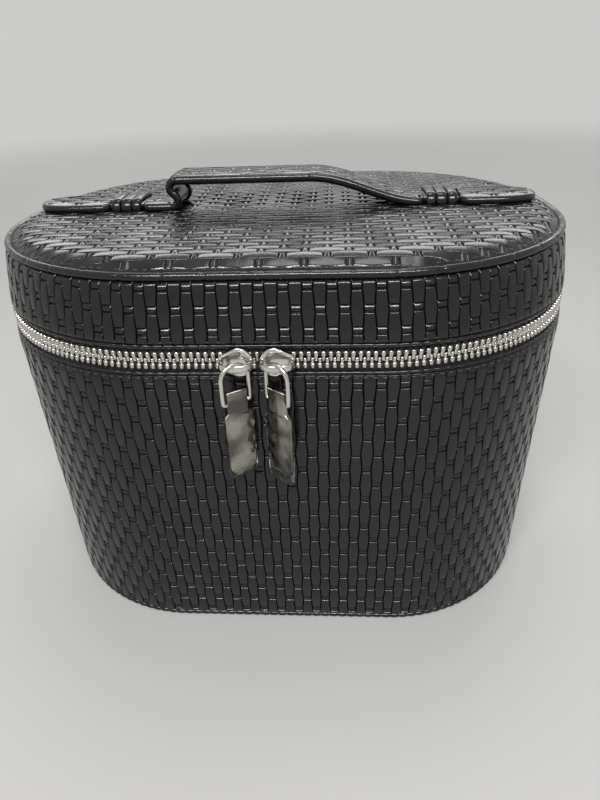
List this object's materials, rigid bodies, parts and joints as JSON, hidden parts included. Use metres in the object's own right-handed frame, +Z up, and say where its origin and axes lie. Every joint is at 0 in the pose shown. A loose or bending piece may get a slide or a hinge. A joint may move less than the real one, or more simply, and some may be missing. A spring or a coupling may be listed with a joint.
{
  "type": "makeup train case",
  "caption": "Rounded upright makeup case of woven-look leather with a padded hinged lid, a strap handle on top and a metal zipper with facing sliders round the rim.",
  "frame": {"origin": "centre of the base, on the surface it stands on", "axes": "+X to the right along the width, -Y towards the front with the sliders, +Z up"},
  "size_m": [0.2376, 0.1902, 0.1802],
  "materials": {
    "woven_leather": "black leather-look sheet with an embossed weave, semi-gloss",
    "plain_leather": "smooth black leather-look sheet, semi-gloss with fine grain",
    "board": "grey-brown stiffening board",
    "foam": "thin soft foam",
    "lining": "plain black lining fabric",
    "tape": "black woven zipper tape",
    "nickel": "bright nickel-plated zinc and brass",
    "clear_film": "thin clear protective film"
  },
  "bodies": {
    "case": {"base_cover": "plain_leather", "base_board": "board", "base_lining": "lining", "base_piping": "plain_leather", "body_skin": "woven_leather", "body_foam": "foam", "body_board": "board", "body_lining": "lining", "body_rim_binding": "plain_leather", "zip_tape_lower": "tape", "zip_teeth_lower": "nickel", "zip_end_stops": "nickel", "hinge_strip": "plain_leather", "hinge_lining": "lining"},
    "lid": {"lid_band_skin": "woven_leather", "lid_band_foam": "foam", "lid_band_board": "board", "lid_band_lining": "lining", "lid_top_lining": "lining", "lid_top_board": "board", "lid_rim_binding": "plain_leather", "lid_top_lip": "plain_leather", "lid_top_skin": "woven_leather", "lid_pad": "foam", "zip_tape_upper": "tape", "zip_teeth_upper": "nickel", "strap_left_tab": "plain_leather", "strap_left_end": "plain_leather", "strap_left_fold": "plain_leather", "strap_right_run": "plain_leather", "strap_right_tab": "plain_leather", "keeper_left": "plain_leather", "keeper_right": "plain_leather"},
    "handle_grip": {"strap_grip": "plain_leather"},
    "slider_left": {"slider_left": "nickel"},
    "bail_left": {"bail_left": "nickel"},
    "pull_left": {"pull_left": "nickel", "film_left": "clear_film"},
    "slider_right": {"slider_right": "nickel"},
    "bail_right": {"bail_right": "nickel"},
    "pull_right": {"pull_right": "nickel", "film_right": "clear_film"}
  },
  "joints": [
    {"name": "lid_hinge", "type": "hinge", "parent": "case", "child": "lid", "pos_m": [0, 0.08975, 0.1342], "axis": [-1, 0, 0], "range_deg": [0, 105], "deforming": ["hinge_strip", "hinge_lining"]},
    {"name": "handle_lift", "type": "slide", "parent": "lid", "child": "handle_grip", "axis": [0.29, 0, 0.957], "range_m": [0, 0.0095], "deforming": ["strap_left_fold", "strap_right_run"]},
    {"name": "slider_left_slide", "type": "slide", "parent": "case", "child": "slider_left", "axis": [-1, 0, 0], "range_m": [0, 0.02]},
    {"name": "bail_left_swing", "type": "hinge", "parent": "slider_left", "child": "bail_left", "pos_m": [-0.0108, -0.095, 0.1342], "axis": [-1, 0, 0], "range_deg": [0, 120]},
    {"name": "pull_left_swing", "type": "hinge", "parent": "bail_left", "child": "pull_left", "pos_m": [-0.0108, -0.095, 0.12175], "axis": [-0.8192, -0.5736, 0], "range_deg": [0, 60]},
    {"name": "slider_right_slide", "type": "slide", "parent": "case", "child": "slider_right", "axis": [1, 0, 0], "range_m": [0, 0.027]},
    {"name": "bail_right_swing", "type": "hinge", "parent": "slider_right", "child": "bail_right", "pos_m": [0.0032, -0.095, 0.1342], "axis": [-1, 0, 0], "range_deg": [0, 120]},
    {"name": "pull_right_swing", "type": "hinge", "parent": "bail_right", "child": "pull_right", "pos_m": [0.0032, -0.095, 0.12175], "axis": [-0.766, 0.6428, 0], "range_deg": [0, 60]}
  ]
}
